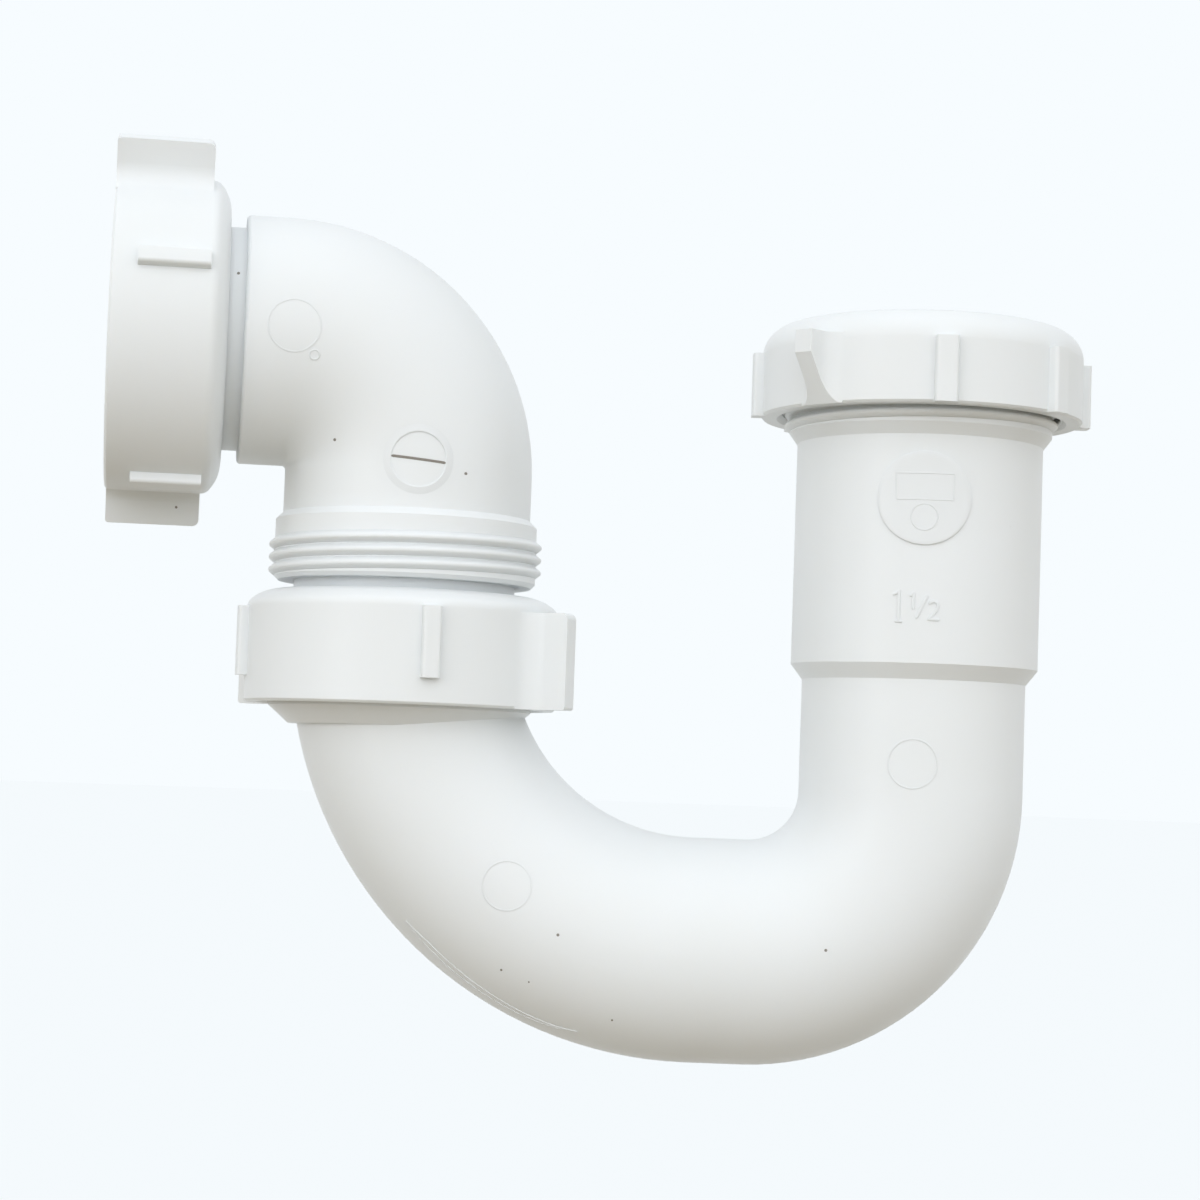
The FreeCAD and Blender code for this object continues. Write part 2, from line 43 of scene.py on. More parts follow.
import bmesh
import bpy
from mathutils import Euler, Matrix, Vector

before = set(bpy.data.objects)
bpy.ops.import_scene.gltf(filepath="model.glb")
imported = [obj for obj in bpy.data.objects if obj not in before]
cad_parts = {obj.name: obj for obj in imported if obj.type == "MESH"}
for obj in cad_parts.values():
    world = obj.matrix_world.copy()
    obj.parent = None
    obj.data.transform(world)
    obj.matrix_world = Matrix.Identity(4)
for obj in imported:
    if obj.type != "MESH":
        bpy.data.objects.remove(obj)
CAD_BOX = [list(corner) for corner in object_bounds()]

MM = 0.001
RIM = 2.6  # height of the inlet's rim over the frame's origin, mm
UNION_X = -88.9  # the union's axis, mm
OUTLET_TURN = math.radians(10.0)  # how far the outlet is swivelled towards the front
OUTLET_HEIGHT = 3.4  # height of the outlet's axis, mm
OUTLET_ROOF = 35.7  # union's axis out to the roof of the outlet nut, mm
INLET_WALL = 21.25  # outer radius of the inlet's deep socket, mm
LEG_WALL = 19.25  # outer radius of the bend's tube, mm
UNION_ARC = 51.5  # radius of the bend's centreline under the union, mm
UNION_ARC_HEIGHT = -47.7  # height of that arc's centre, mm
BURIED = -0.1  # how deep the foot of a raised mark stands in the wall, mm
WHITE_NODES = ("trap_bend", "inlet_nut", "union_nut", "elbow", "outlet_nut")
WASHER_NODES = ("inlet_washer", "union_washer", "outlet_washer")
SKY_BACK = "#848483"  # the sky opposite its brightest part
SKY_FRONT = "#F8FAFD"  # the sky at its brightest part
SKY_TOWARD = (0.0, -0.94, -0.34)  # way to the brightest part: to the front and a little below
SKY_NARROWING = 3.0  # how quickly the sky fades away from its brightest part
FLOOR_BOUNCE = "#A39781"  # the floor as the trap sees it
FLOOR_GLOW = 0.75  # share of the floor that shows as background; the rest is paint that takes the shadow
FLOOR_SIDES = 48
FLOOR_RADII = [0.5 * 2**i for i in range(6)]  # metres


class ThreadSizes(bpy.types.PropertyGroup):
    """Sizes of the slip-joint screw threads."""

    pitch: bpy.props.FloatProperty(
        name="Pitch",
        description="Rise of the thread in one turn, 11.5 turns to the inch, in mm",
        default=2.209,
        min=1.0,
        max=4.0,
    )
    male_root: bpy.props.FloatProperty(
        name="Collar radius", description="Wall that the outer thread stands on, in mm", default=22.7
    )
    male_crest: bpy.props.FloatProperty(
        name="Outer crest radius", description="Top of the outer thread, in mm", default=23.68
    )
    female_root: bpy.props.FloatProperty(
        name="Nut bore radius", description="Wall that the inner thread stands on, in mm", default=24.15
    )
    female_crest: bpy.props.FloatProperty(
        name="Inner crest radius", description="Top of the inner thread, in mm", default=23.1
    )
    crest_width: bpy.props.FloatProperty(
        name="Crest width", description="Flat left on top of each thread, in mm", default=0.45
    )
    steps: bpy.props.IntProperty(
        name="Steps a turn", description="Cross-sections in one turn of a thread", default=96, min=24, max=240
    )


class MarkSizes(bpy.types.PropertyGroup):
    """Sizes of the relief marks that the mould leaves."""

    relief: bpy.props.FloatProperty(
        name="Relief", description="How far a raised mark stands off the wall, in mm", default=0.2
    )
    medallion: bpy.props.FloatProperty(
        name="Medallion", description="Diameter of the raised disc on the inlet, in mm", default=15.7
    )
    medallion_relief: bpy.props.FloatProperty(
        name="Medallion relief", description="Thickness of the raised disc on the inlet, in mm", default=0.35
    )
    date_ring: bpy.props.FloatProperty(
        name="Insert", description="Diameter of the slotted mould insert's mark on the elbow, in mm", default=9.2
    )
    ejector: bpy.props.FloatProperty(
        name="Ejector pin", description="Diameter of an ejector pin's faint mark, in mm", default=8.2
    )
    fleck: bpy.props.FloatProperty(
        name="Fleck", description="Diameter of a burnt fleck in the plastic, in mm", default=0.5
    )


class PlasticColours(bpy.types.PropertyGroup):
    """Colours of the two plastics, as sRGB hex values."""

    white: bpy.props.StringProperty(
        name="White", description="PVC of the bend, elbow and nuts", default="#E9EDF0"
    )
    cloud: bpy.props.StringProperty(
        name="Cloud", description="Faint uneven tint in that PVC", default="#E5E9EA"
    )
    # The speck colour also tints the dark strip of painted shade in the elbow insert's slot
    speck: bpy.props.StringProperty(
        name="Speck", description="Burnt specks that the moulding picks up", default="#76716A"
    )
    washer: bpy.props.StringProperty(
        name="Washer", description="Milky polyethylene of the washers", default="#DCE1E0"
    )


class StudioSettings(bpy.types.PropertyGroup):
    """Light, background and camera."""

    background: bpy.props.StringProperty(
        name="Background", description="Pale sweep behind the trap, as an sRGB hex value", default="#F7FCFF"
    )
    strip: bpy.props.FloatProperty(
        name="Strip lamp", description="Tall softbox to the left of the camera", default=0.9, unit="POWER"
    )
    ambient: bpy.props.FloatProperty(
        name="Ambient", description="Strength of the light from the front; from behind it is a quarter", default=2.85
    )
    floor_drop: bpy.props.FloatProperty(
        name="Floor drop", description="Gap from the trap down to the floor", default=0.14, unit="LENGTH"
    )


def linear(hex_colour):
    """An sRGB hex value as a linear colour with alpha."""
    parts = [int(hex_colour[i : i + 2], 16) / 255 for i in (1, 3, 5)]
    return [c / 12.92 if c <= 0.04045 else ((c + 0.055) / 1.055) ** 2.4 for c in parts] + [1.0]


def add_node(tree, kind, settings=None, links=None):
    """Adds a shader node. Settings name its options or sockets, and links name the sockets to feed."""
    node = tree.nodes.new(kind)
    for name, value in (settings or {}).items():
        if isinstance(name, str) and hasattr(node, name):
            setattr(node, name, value)
        else:
            node.inputs[name].default_value = value
    for name, source in (links or {}).items():
        tree.links.new(source, node.inputs[name])
    return node


def new_material(name):
    """An empty node material and its tree. Returns the one made before if there is one."""
    material = bpy.data.materials.get(name)
    if material:
        return material, None
    material = bpy.data.materials.new(name)
    material.use_nodes = True
    material.node_tree.nodes.clear()
    return material, material.node_tree


def moulded_pvc():
    """Rigid PVC, injection moulded in a satin mould.

    It gives an even milky white whose shine is soft and a little uneven, with faint clouding, a very shallow
    orange peel and a few burnt specks.
    """
    colours = bpy.context.scene.sink_trap_colours
    material, tree = new_material("moulded_white_pvc")
    if tree is None:
        return material
    place = add_node(tree, "ShaderNodeTexCoord").outputs["Object"]
    # Clouds of about 30 mm
    cloud = add_node(tree, "ShaderNodeTexNoise", {"Scale": 1 / 0.030, "Detail": 2.0}, {"Vector": place})
    tint = add_node(
        tree,
        "ShaderNodeMix",
        {"data_type": "RGBA", 6: linear(colours.white), 7: linear(colours.cloud)},
        {0: cloud.outputs["Fac"]},
    )
    # Specks of 0.4 mm, one in each 14 mm cell where the wall happens to cut it
    cells = add_node(tree, "ShaderNodeTexVoronoi", {"Scale": 1 / 0.014}, {"Vector": place})
    speck = add_node(
        tree,
        "ShaderNodeMapRange",
        {"From Min": 0.008, "From Max": 0.014, "To Min": 0.5, "To Max": 0.0},
        {"Value": cells.outputs["Distance"]},
    )
    colour = add_node(
        tree,
        "ShaderNodeMix",
        {"data_type": "RGBA", 7: linear(colours.speck)},
        {0: speck.outputs["Result"], 6: tint.outputs[2]},
    )
    # Shine that varies over about 12 mm, where the melt cooled unevenly
    patches = add_node(tree, "ShaderNodeTexNoise", {"Scale": 1 / 0.012, "Detail": 3.0}, {"Vector": place})
    shine = add_node(
        tree,
        "ShaderNodeMapRange",
        {"From Min": 0.3, "From Max": 0.7, "To Min": 0.30, "To Max": 0.40},
        {"Value": patches.outputs["Fac"]},
    )
    # Orange peel of about 1.5 mm, a few hundredths of a millimetre deep
    peel = add_node(tree, "ShaderNodeTexNoise", {"Scale": 1 / 0.0015, "Detail": 1.0}, {"Vector": place})
    bump = add_node(
        tree, "ShaderNodeBump", {"Strength": 0.12, "Distance": 0.00004}, {"Height": peel.outputs["Fac"]}
    )
    surface = add_node(
        tree,
        "ShaderNodeBsdfPrincipled",
        {
            "IOR": 1.53,
            "Subsurface Weight": 0.12,
            "Subsurface Radius": (1.0, 0.9, 0.8),
            "Subsurface Scale": 0.0015,
        },
        {
            "Base Color": colour.outputs[2],
            "Roughness": shine.outputs["Result"],
            "Normal": bump.outputs["Normal"],
        },
    )
    add_node(tree, "ShaderNodeOutputMaterial", None, {"Surface": surface.outputs["BSDF"]})
    return material


def scorched_pvc_and_slot_shade():
    """PVC that stayed too long in the hot barrel. It gives a dark brown-grey fleck with little shine, and it is also
    the painted shade in the elbow insert's slot: a dark strip standing in for the shadow in a groove.
    """
    colours = bpy.context.scene.sink_trap_colours
    material, tree = new_material("scorched_pvc_and_slot_shade")
    if tree is None:
        return material
    place = add_node(tree, "ShaderNodeTexCoord").outputs["Object"]
    # Uneven char of about 0.2 mm; on the insert's slot it makes the painted shade uneven
    char = add_node(tree, "ShaderNodeTexNoise", {"Scale": 1 / 0.0002, "Detail": 1.0}, {"Vector": place})
    tint = add_node(
        tree,
        "ShaderNodeMix",
        {"data_type": "RGBA", 6: linear(colours.speck), 7: linear("#8F8A82")},
        {0: char.outputs["Fac"]},
    )
    surface = add_node(
        tree, "ShaderNodeBsdfPrincipled", {"IOR": 1.53, "Roughness": 0.6}, {"Base Color": tint.outputs[2]}
    )
    add_node(tree, "ShaderNodeOutputMaterial", None, {"Surface": surface.outputs["BSDF"]})
    return material


def milky_polyethylene():
    """Soft polyethylene, moulded. It gives a duller, slightly cool and see-through white."""
    colours = bpy.context.scene.sink_trap_colours
    material, tree = new_material("milky_polyethylene")
    if tree is None:
        return material
    place = add_node(tree, "ShaderNodeTexCoord").outputs["Object"]
    cloud = add_node(tree, "ShaderNodeTexNoise", {"Scale": 1 / 0.006, "Detail": 2.0}, {"Vector": place})
    tint = add_node(
        tree,
        "ShaderNodeMix",
        {"data_type": "RGBA", 6: linear(colours.washer), 7: linear(colours.cloud)},
        {0: cloud.outputs["Fac"]},
    )
    peel = add_node(tree, "ShaderNodeTexNoise", {"Scale": 1 / 0.0008, "Detail": 1.0}, {"Vector": place})
    bump = add_node(
        tree, "ShaderNodeBump", {"Strength": 0.2, "Distance": 0.00004}, {"Height": peel.outputs["Fac"]}
    )
    surface = add_node(
        tree,
        "ShaderNodeBsdfPrincipled",
        {"IOR": 1.51, "Roughness": 0.5, "Subsurface Weight": 0.3, "Subsurface Scale": 0.002},
        {"Base Color": tint.outputs[2], "Normal": bump.outputs["Normal"]},
    )
    add_node(tree, "ShaderNodeOutputMaterial", None, {"Surface": surface.outputs["BSDF"]})
    return material


def new_piece(name, points, faces, body, material, smooth_angle=40.0):
    """Makes a closed mesh piece from points in millimetres and hangs it on a body of the frame."""
    mesh = bpy.data.meshes.new(name)
    mesh.from_pydata([Vector(point) * MM for point in points], [], faces)
    shell = bmesh.new()
    shell.from_mesh(mesh)
    bmesh.ops.recalc_face_normals(shell, faces=shell.faces)
    shell.to_mesh(mesh)
    shell.free()
    mesh.shade_smooth()
    mesh.set_sharp_from_angle(angle=math.radians(smooth_angle))
    mesh.materials.append(material)
    piece = bpy.data.objects.new(name, mesh)
    bpy.context.scene.collection.objects.link(piece)
    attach(piece, body)
    return piece


def skin(rows, endless=False):
    """Points and faces of a tube whose cross-sections are equal rows. Its two ends are capped or joined."""
    count = len(rows[0])
    points = [point for row in rows for point in row]
    faces = []
    for i in range(len(rows) if endless else len(rows) - 1):
        here = i * count
        there = (i + 1) % len(rows) * count
        for j in range(count):
            k = (j + 1) % count
            faces.append((here + j, here + k, there + k, there + j))
    if not endless:
        faces.append(tuple(reversed(range(count))))
        faces.append(tuple(range((len(rows) - 1) * count, len(rows) * count)))
    return points, faces


def thread_rows(place, root, crest, base, low, high, phase_height):
    """Cross-sections of one screw thread that stands on a wall of radius root and is cut to radius crest.

    The thread runs from height low to high, right-handed, and its crest passes phase_height at angle 0.
    """
    sizes = bpy.context.scene.sink_trap_threads
    outward = 1 if crest > root else -1
    flat = sizes.crest_width
    rise = abs(crest - root)
    first = (low - phase_height) / sizes.pitch
    last = (high - phase_height) / sizes.pitch
    count = int((last - first) * sizes.steps)
    fade = sizes.steps / 5
    rows = []
    for i in range(count + 1):
        turn = first + (last - first) * i / count
        angle = 2 * math.pi * turn
        height = phase_height + sizes.pitch * turn
        full = min(1.0, i / fade, (count - i) / fade)
        full = 0.02 + 0.98 * math.sin(full * math.pi / 2)
        half = base / 2 * (0.3 + 0.7 * full)
        top = flat / 2 * (0.3 + 0.7 * full)
        # Half of the section: buried foot, flank, and the rounded edge of the crest
        side = [
            (half, -0.15),
            (half, 0.0),
            (top + (half - top) * 0.22, rise * full * 0.78),
            (top + (half - top) * 0.06, rise * full * 0.93),
            (top * 0.6, rise * full),
        ]
        section = side + [(-along, out) for along, out in reversed(side)]
        row = []
        for along, out in section:
            radius = root + outward * out
            row.append(place @ Vector((radius * math.cos(angle), radius * math.sin(angle), height + along)))
        rows.append(row)
    return rows


def upright(x=0.0):
    """The place of a part that stands on an upright axis."""
    return Matrix.Translation((x, 0, 0))


def outlet_place():
    """The outlet nut's own axes: its roof's underside is at 0, and its shoulder faces the elbow."""
    swivel = Matrix.Rotation(OUTLET_TURN, 4, "Z")
    out = swivel @ Vector((-OUTLET_ROOF, 0, 0))
    middle = Matrix.Translation((UNION_X + out.x, out.y, OUTLET_HEIGHT))
    return middle @ swivel @ Matrix.Rotation(math.radians(90), 4, "Y")


def round_wall(radius, azimuth, height):
    """Lays a flat mark round an upright cylinder on the inlet's axis: across, up and out, in mm."""

    def put(across, up, out):
        angle = math.radians(azimuth) + across / radius
        far = radius + out
        return Vector((far * math.cos(angle), far * math.sin(angle), height + up))

    return put


def arc_wall(turn, facing):
    """Lays a flat mark outside the arc under the union: along the bend, round the tube and out, in mm."""

    def put(along, around, out):
        bend = math.radians(turn) + along / (UNION_ARC + LEG_WALL)
        tilt = math.radians(facing) + around / LEG_WALL
        tube = LEG_WALL + out
        far = UNION_ARC + tube * math.cos(tilt)
        middle = Vector((UNION_X + UNION_ARC, 0, UNION_ARC_HEIGHT))
        return middle + Vector((far * math.cos(bend), -tube * math.sin(tilt), far * math.sin(bend)))

    return put


def cast_wall(node, spot, facing):
    """Lays a flat mark onto the wall of a CAD node that stands behind it: across, up and out, in mm."""
    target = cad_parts[node]
    to_world = target.matrix_world
    to_local = to_world.inverted()
    inward = -Vector(facing).normalized()
    right = inward.cross(Vector((0, 0, 1))).normalized()
    upward = right.cross(inward)

    def put(across, up, out):
        start = Vector(spot) + right * across + upward * up - inward * 5
        hit, place, normal, _ = target.ray_cast(to_local @ (start * MM), to_local.to_3x3() @ inward)
        if not hit:
            raise RuntimeError(f"no wall of {node} behind a mark at {tuple(spot)}")
        return (to_world @ place) / MM + (to_world.to_3x3() @ normal).normalized() * out

    return put


def stroke_section(half, relief):
    """Half-rounded section of a raised stroke: places across it, each with its height."""
    rounding = ((1.0, 0.45), (0.85, 0.85), (0.5, 1.0))
    near = [(-half, BURIED)] + [(-half * share, relief * rise) for share, rise in rounding]
    far = [(half * share, relief * rise) for share, rise in reversed(rounding)] + [(half, BURIED)]
    return near + far


def stroke(put, corners, width, relief, step=0.3):
    """A raised stroke along a line of corners, with rounded ends."""
    places = []
    for start, end in zip(corners, corners[1:]):
        count = max(1, math.ceil(math.dist(start, end) / step))
        places += [Vector(start).lerp(Vector(end), i / count) for i in range(count)]
    places.append(Vector(corners[-1]))
    run = 0.0
    total = sum((b - a).length for a, b in zip(places, places[1:]))
    rows = []
    for i, place in enumerate(places):
        along = places[min(i + 1, len(places) - 1)] - places[max(i - 1, 0)]
        side = Vector((-along.y, along.x)).normalized()
        if i:
            run += (place - places[i - 1]).length
        inset = min(1.0, min(run, total - run) / (width / 2))
        half = width / 2 * max(0.35, math.sqrt(1 - (1 - inset) ** 2))
        row = []
        for offset, height in stroke_section(half, relief):
            spot = place + side * offset
            row.append(put(spot.x, spot.y, height))
        rows.append(row)
    return skin(rows)


def lip_section(slope, relief):
    """Section of the raised lip round a sunk disc: steep towards the disc, and a long slope outwards."""
    return [(0.0, BURIED), (0.0, relief * 0.8), (0.1, relief), (0.3, relief * 0.8), (slope, 0.0), (slope, BURIED)]


def ring(put, radius, section, centre=(0.0, 0.0), steps=96):
    """A raised round line."""
    rows = []
    for i in range(steps):
        angle = 2 * math.pi * i / steps
        row = []
        for offset, height in section:
            far = radius + offset
            row.append(put(centre[0] + far * math.cos(angle), centre[1] + far * math.sin(angle), height))
        rows.append(row)
    return skin(rows, endless=True)


def disc(put, radius, relief, centre=(0.0, 0.0), steps=96, bands=12):
    """A raised disc with a slightly rounded edge, divided so that it can follow a curved wall."""
    edge = min(0.12, radius / 4)
    top = [((radius - edge) * (i + 1) / bands, relief) for i in range(bands)]
    side = [(radius - edge * 0.3, relief * 0.9), (radius, relief * 0.7), (radius, BURIED)]
    foot = [((radius - edge) * (bands - i) / bands, BURIED) for i in range(bands)]
    rows = []
    for far, height in top + side + foot:
        row = []
        for i in range(steps):
            angle = 2 * math.pi * i / steps
            row.append(put(centre[0] + far * math.cos(angle), centre[1] + far * math.sin(angle), height))
        rows.append(row)
    return skin(rows)


def raise_mark(name, body, shapes, material=None):
    """Makes one piece on a body out of raised shapes."""
    points = []
    faces = []
    for shape_points, shape_faces in shapes:
        base = len(points)
        points += shape_points
        faces += [tuple(base + i for i in face) for face in shape_faces]
    return new_piece(name, points, faces, body, material or moulded_pvc())


class SINKTRAP_OT_moulded_bodies(bpy.types.Operator):
    """Finish the bend, the elbow and the nuts in white PVC, and the washers in polyethylene"""

    bl_idname = "sink_trap.moulded_bodies"
    bl_label = "Moulded bodies"

    def execute(self, context):
        for names, material in ((WHITE_NODES, moulded_pvc()), (WASHER_NODES, milky_polyethylene())):
            for name in names:
                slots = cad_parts[name].material_slots
                if not slots:
                    raise RuntimeError(f"{name} has no material slot")
                for slot in slots:
                    slot.material = material
        return {"FINISHED"}


class SINKTRAP_OT_collar_threads(bpy.types.Operator):
    """Cut the outer screw thread of the inlet collar, the union collar and the elbow's collar"""

    bl_idname = "sink_trap.collar_threads"
    bl_label = "Collar threads"

    def execute(self, context):
        sizes = context.scene.sink_trap_threads
        collars = (
            ("inlet_collar_thread", "trap_bend", 0.0, RIM - 10.9, RIM - 0.9, RIM - 5.0),
            ("union_collar_thread", "trap_bend", UNION_X, RIM - 61.2, RIM - 49.4, RIM - 55.0),
            ("elbow_collar_thread", "elbow", UNION_X, RIM - 39.6, RIM - 32.8, RIM - 35.5),
        )
        for name, body, x, low, high, phase in collars:
            rows = thread_rows(upright(x), sizes.male_root, sizes.male_crest, 2.0, low, high, phase)
            points, faces = skin(rows)
            new_piece(name, points, faces, body, moulded_pvc(), smooth_angle=50)
        return {"FINISHED"}


class SINKTRAP_OT_nut_threads(bpy.types.Operator):
    """Cut the inner screw thread of the inlet nut, the union nut and the outlet nut"""

    bl_idname = "sink_trap.nut_threads"
    bl_label = "Nut threads"

    def execute(self, context):
        sizes = context.scene.sink_trap_threads
        # Half a turn out of step with the collar inside, so that the flanks lie between each other
        half = sizes.pitch / 2
        nuts = (
            ("inlet_nut_thread", "inlet_nut", upright(), RIM - 8.4, RIM + 0.9, RIM - 5.0 + half),
            ("union_nut_thread", "union_nut", upright(UNION_X), RIM - 61.0, RIM - 47.6, RIM - 55.0 + half),
            ("outlet_nut_thread", "outlet_nut", outlet_place(), -15.8, -2.4, -7.0),
        )
        for name, body, place, low, high, phase in nuts:
            rows = thread_rows(place, sizes.female_root, sizes.female_crest, 1.5, low, high, phase)
            points, faces = skin(rows)
            new_piece(name, points, faces, body, moulded_pvc(), smooth_angle=50)
        return {"FINISHED"}


class SINKTRAP_OT_inlet_marks(bpy.types.Operator):
    """Raise a disc with a blank plate, and the pipe size in numerals, on the front of the inlet"""

    bl_idname = "sink_trap.inlet_marks"
    bl_label = "Inlet marks"

    def execute(self, context):
        sizes = context.scene.sink_trap_marks
        put = round_wall(INLET_WALL, -92.3, -21.8)
        raise_mark("inlet_medallion", "trap_bend", [disc(put, sizes.medallion / 2, sizes.medallion_relief)])
        line = sizes.medallion_relief + sizes.relief * 0.3
        left, right, low, high = -4.8, 4.8, -0.3, 4.1
        frame_line = [(left, low), (right, low), (right, high), (left, high), (left, low)]
        emblem = [stroke(put, frame_line, 0.3, line), ring(put, 2.2, stroke_section(0.15, line), (0.0, -3.2), 48)]
        raise_mark("inlet_medallion_plate", "trap_bend", emblem)

        # The pipe size, one and a half, as a tall figure beside a small fraction
        put = round_wall(INLET_WALL, -94.9, -39.95)
        figures = (
            [(-3.9, 1.9), (-3.3, 2.15), (-2.85, 2.55), (-2.85, -2.5)],
            [(-3.5, -2.5), (-2.2, -2.5)],
            [(-1.1, 1.75), (-0.75, 1.95), (-0.45, 2.3), (-0.45, -0.55)],
            [(1.85, 1.95), (0.05, -1.95)],
            [
                (2.1, 0.4),
                (2.35, 0.8),
                (2.9, 0.95),
                (3.45, 0.75),
                (3.65, 0.2),
                (3.35, -0.6),
                (2.15, -2.05),
                (3.95, -2.05),
            ],
        )
        strokes = [stroke(put, figure, 0.5, sizes.relief, 0.2) for figure in figures]
        raise_mark("inlet_size_numerals", "trap_bend", strokes)
        return {"FINISHED"}


class SINKTRAP_OT_mould_marks(bpy.types.Operator):
    """Leave the marks of the mould: a slotted insert whose slot is a dark strip of painted shade, faint ejector pins
    and a witness line
    """

    bl_idname = "sink_trap.mould_marks"
    bl_label = "Mould marks"

    def execute(self, context):
        sizes = context.scene.sink_trap_marks
        facing = (math.sin(OUTLET_TURN), -math.cos(OUTLET_TURN), 0)
        put = cast_wall("elbow", (-85.4, -20.9, -18.1), facing)
        lip = ring(put, sizes.date_ring / 2, lip_section(1.3, sizes.relief))
        raise_mark("elbow_insert_mark", "elbow", [lip])
        # The slot is a nearly flat dark strip: painted shade standing in for the shadow inside the insert's groove
        slot = stroke(put, [(-4.6, 0.4), (4.6, -0.4)], 0.45, 0.05)
        raise_mark("elbow_insert_slot_painted_shade", "elbow", [slot], scorched_pvc_and_slot_shade())
        put = cast_wall("elbow", (-106.6, -24.65, 3.2), facing)
        faint = [ring(put, 4.4, stroke_section(0.15, sizes.relief * 0.3))]
        faint.append(ring(put, 0.8, stroke_section(0.15, sizes.relief * 0.6), (3.5, -4.7), 32))
        raise_mark("elbow_ejector_mark", "elbow", faint)
        pin = sizes.ejector / 2
        put = cast_wall("trap_bend", (-68.1, -19.1, -88.6), (0, -1, 0))
        section = stroke_section(0.15, sizes.relief * 0.35)
        raise_mark("bend_ejector_mark", "trap_bend", [ring(put, pin, section)])
        put = round_wall(LEG_WALL, -94.3, -66.0)
        raise_mark("leg_ejector_mark", "trap_bend", [ring(put, pin, section)])
        # Two lines that part in the middle and meet at their ends, under the front of the bend
        put = arc_wall(turn=240.0, facing=30.0)
        along = (-18.8, -13.3, -7.8, -2.6, 3.3, 8.9, 14.0, 17.7)
        upper = (0.8, 1.1, 0.6, 0.1, -0.3, -0.5, -0.2, 0.6)
        lower = (0.8, -0.3, -1.1, -1.6, -1.8, -1.6, -0.8, 0.6)
        lines = [stroke(put, list(zip(along, line)), 0.3, sizes.relief * 0.6) for line in (upper, lower)]
        raise_mark("bend_witness_lines", "trap_bend", lines)
        return {"FINISHED"}


class SINKTRAP_OT_burnt_flecks(bpy.types.Operator):
    """Sink the darkest burnt flecks into the walls of the elbow, the bend and the outlet nut"""

    bl_idname = "sink_trap.burnt_flecks"
    bl_label = "Burnt flecks"

    def execute(self, context):
        sizes = context.scene.sink_trap_marks
        # Each fleck's place in mm and its share of the full size
        flecks = {
            "elbow": [((-99.8, -18.8, -15.1), 1.0), ((-77.6, -17.9, -20.0), 1.0), ((-116.7, -22.5, 12.0), 1.0)],
            "outlet_nut": [((-130.3, 5.0, -25.2), 0.9)],
            "trap_bend": [
                ((-59.3, -19.0, -96.4), 1.0),
                ((-14.9, -19.0, -97.3), 1.0),
                ((-68.7, -15.1, -102.8), 0.8),
                ((-64.0, -15.6, -104.6), 0.6),
                ((-49.9, -14.6, -110.5), 0.7),
            ],
        }
        for node, spots in flecks.items():
            shapes = []
            for spot, share in spots:
                put = cast_wall(node, spot, (0, -1, 0))
                shapes.append(disc(put, sizes.fleck * share / 2, 0.02, (0.0, 0.0), 16, 2))
            raise_mark(f"{node}_flecks", node, shapes, scorched_pvc_and_slot_shade())
        return {"FINISHED"}


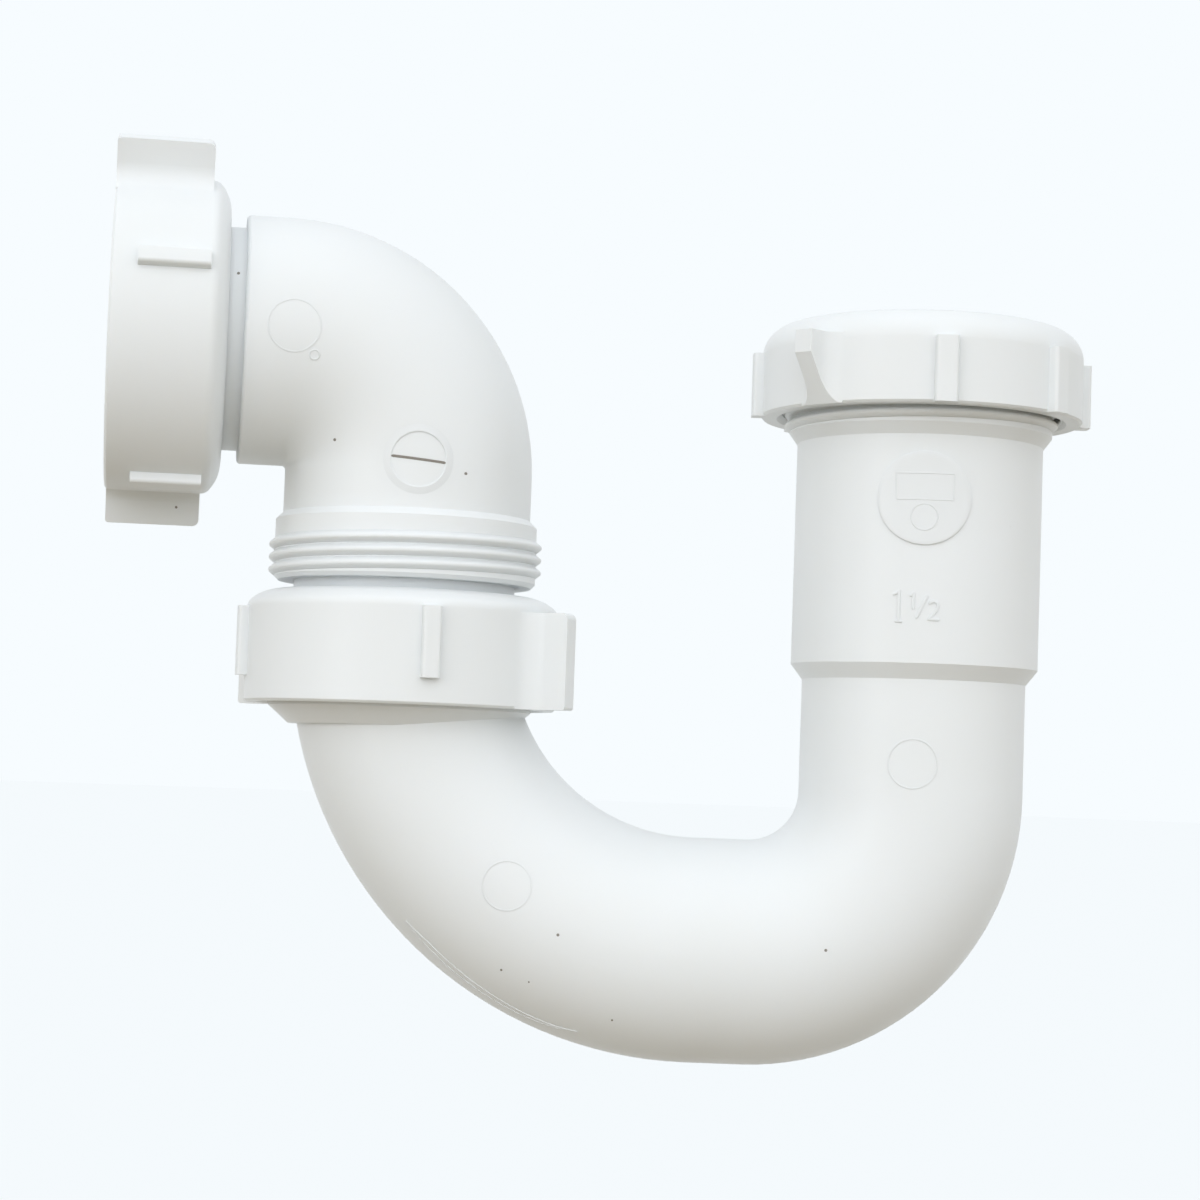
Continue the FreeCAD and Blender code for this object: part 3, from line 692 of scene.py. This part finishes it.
class SINKTRAP_OT_studio(bpy.types.Operator):
    """Set up the pale floor, the soft light all round, one softbox and the camera"""

    bl_idname = "sink_trap.studio"
    bl_label = "Studio"

    def execute(self, context):
        settings = context.scene.sink_trap_studio
        background = linear(settings.background)
        self.add_floor(settings, background)
        self.add_world(settings, background)
        self.add_lamp("left_strip", (-0.72, -0.8, 0.12), (0.3, 0.8), settings.strip)
        self.add_camera()
        context.scene.view_settings.view_transform = "Standard"
        return {"FINISHED"}

    def add_floor(self, settings, background):
        """A plain floor that fades into the background but keeps the trap's shadow."""
        level = CAD_BOX[0][2] - settings.floor_drop
        mesh = bpy.data.meshes.new("floor")
        points = [(0.0, 0.0, 0.0)]
        faces = []
        for radius in FLOOR_RADII:
            for i in range(FLOOR_SIDES):
                angle = 2 * math.pi * i / FLOOR_SIDES
                points.append((radius * math.cos(angle), radius * math.sin(angle), 0.0))
        for i in range(FLOOR_SIDES):
            faces.append((0, 1 + i, 1 + (i + 1) % FLOOR_SIDES))
        for band in range(len(FLOOR_RADII) - 1):
            inner = 1 + band * FLOOR_SIDES
            outer = inner + FLOOR_SIDES
            for i in range(FLOOR_SIDES):
                j = (i + 1) % FLOOR_SIDES
                faces.append((inner + i, outer + i, outer + j, inner + j))
        mesh.from_pydata(points, [], faces)
        floor = bpy.data.objects.new("floor", mesh)
        floor.location = (-0.06, 0.0, level)
        material, tree = new_material("pale_painted_floor")
        if tree:
            seen = self.background_rays(tree)
            paint = add_node(
                tree,
                "ShaderNodeMix",
                {"data_type": "RGBA", 6: linear(FLOOR_BOUNCE), 7: background},
                {0: seen},
            )
            matt = add_node(tree, "ShaderNodeBsdfDiffuse", None, {"Color": paint.outputs[2]})
            glow = add_node(tree, "ShaderNodeEmission", {"Color": background, "Strength": 1.0})
            share = add_node(tree, "ShaderNodeMath", {"operation": "MULTIPLY", 1: FLOOR_GLOW}, {0: seen})
            mix = add_node(
                tree,
                "ShaderNodeMixShader",
                None,
                {0: share.outputs[0], 1: matt.outputs[0], 2: glow.outputs[0]},
            )
            add_node(tree, "ShaderNodeOutputMaterial", None, {"Surface": mix.outputs[0]})
        mesh.materials.append(material)
        bpy.context.scene.collection.objects.link(floor)

    def background_rays(self, tree):
        """Is 1 for the rays that show the background: the camera's, and those that gloss or glass sends on."""
        path = add_node(tree, "ShaderNodeLightPath")
        mirrored = add_node(
            tree,
            "ShaderNodeMath",
            {"operation": "MAXIMUM"},
            {0: path.outputs["Is Glossy Ray"], 1: path.outputs["Is Transmission Ray"]},
        )
        seen = add_node(
            tree,
            "ShaderNodeMath",
            {"operation": "MAXIMUM"},
            {0: mirrored.outputs[0], 1: path.outputs["Is Camera Ray"]},
        )
        return seen.outputs[0]

    def add_world(self, settings, background):
        """Even light from all round, brightest from the front and a little below."""
        world = bpy.data.worlds.new("studio")
        bpy.context.scene.world = world
        world.use_nodes = True
        tree = world.node_tree
        tree.nodes.clear()
        place = add_node(tree, "ShaderNodeTexCoord")
        toward = add_node(
            tree,
            "ShaderNodeVectorMath",
            {"operation": "DOT_PRODUCT", 1: SKY_TOWARD},
            {0: place.outputs["Generated"]},
        )
        share = add_node(
            tree, "ShaderNodeMapRange", {"From Min": -1.0, "From Max": 1.0}, {"Value": toward.outputs["Value"]}
        )
        narrowed = add_node(
            tree, "ShaderNodeMath", {"operation": "POWER", 1: SKY_NARROWING}, {0: share.outputs["Result"]}
        )
        sky = add_node(
            tree,
            "ShaderNodeMix",
            {"data_type": "RGBA", 6: linear(SKY_BACK), 7: linear(SKY_FRONT)},
            {0: narrowed.outputs[0]},
        )
        around = add_node(tree, "ShaderNodeBackground", {"Strength": settings.ambient}, {"Color": sky.outputs[2]})
        backdrop = add_node(tree, "ShaderNodeBackground", {"Color": background, "Strength": 1.0})
        mix = add_node(
            tree,
            "ShaderNodeMixShader",
            None,
            {0: self.background_rays(tree), 1: around.outputs[0], 2: backdrop.outputs[0]},
        )
        add_node(tree, "ShaderNodeOutputWorld", None, {"Surface": mix.outputs[0]})

    def add_lamp(self, name, spot, size, power):
        """A softbox that faces the middle of the trap."""
        light = bpy.data.lights.new(name, "AREA")
        light.shape = "RECTANGLE"
        light.size, light.size_y = size
        light.energy = power
        lamp = bpy.data.objects.new(name, light)
        lamp.location = spot
        middle = Vector((-0.06, 0.0, -0.045))
        lamp.rotation_euler = (middle - Vector(spot)).to_track_quat("-Z", "Y").to_euler()
        bpy.context.scene.collection.objects.link(lamp)

    def add_camera(self):
        """A long lens a little below the middle of the trap, tipped up and rolled as the photograph was."""
        camera = bpy.data.objects.new("camera", bpy.data.cameras.new("camera"))
        camera.data.sensor_width = 36.0
        camera.data.lens = 82.83
        camera.location = Vector((-43.88, -479.33, -68.66)) * MM
        camera.rotation_euler = Euler([math.radians(a) for a in (93.498, -2.029, 1.173)], "XYZ")
        camera.data.clip_start = 0.01
        camera.data.clip_end = 50.0
        bpy.context.scene.collection.objects.link(camera)
        bpy.context.scene.camera = camera


class SINKTRAP_PT_panel(bpy.types.Panel):
    """Lists the steps that finish the trap, and its sizes and colours"""

    bl_label = "Sink Trap"
    bl_space_type = "VIEW_3D"
    bl_region_type = "UI"
    bl_category = "Sink Trap"

    def draw(self, context):
        layout = self.layout
        for group in GROUPS:
            box = layout.box()
            settings = getattr(context.scene, group)
            for name in settings.__annotations__:
                box.prop(settings, name)
        for operator in OPERATORS:
            layout.operator(operator.bl_idname)


GROUPS = {
    "sink_trap_threads": ThreadSizes,
    "sink_trap_marks": MarkSizes,
    "sink_trap_colours": PlasticColours,
    "sink_trap_studio": StudioSettings,
}
OPERATORS = (
    SINKTRAP_OT_moulded_bodies,
    SINKTRAP_OT_collar_threads,
    SINKTRAP_OT_nut_threads,
    SINKTRAP_OT_inlet_marks,
    SINKTRAP_OT_mould_marks,
    SINKTRAP_OT_burnt_flecks,
    SINKTRAP_OT_studio,
)


def register():
    for name, group in GROUPS.items():
        bpy.utils.register_class(group)
        setattr(bpy.types.Scene, name, bpy.props.PointerProperty(type=group))
    for operator in OPERATORS:
        bpy.utils.register_class(operator)
    bpy.utils.register_class(SINKTRAP_PT_panel)


def unregister():
    bpy.utils.unregister_class(SINKTRAP_PT_panel)
    for operator in reversed(OPERATORS):
        bpy.utils.unregister_class(operator)
    for name, group in GROUPS.items():
        delattr(bpy.types.Scene, name)
        bpy.utils.unregister_class(group)


def main():
    """Finishes the whole trap."""
    register()
    bpy.ops.sink_trap.moulded_bodies()
    bpy.ops.sink_trap.collar_threads()
    bpy.ops.sink_trap.nut_threads()
    bpy.ops.sink_trap.inlet_marks()
    bpy.ops.sink_trap.mould_marks()
    bpy.ops.sink_trap.burnt_flecks()
    bpy.ops.sink_trap.studio()
    bpy.context.view_layer.update()


if __name__ == "__main__":
    main()
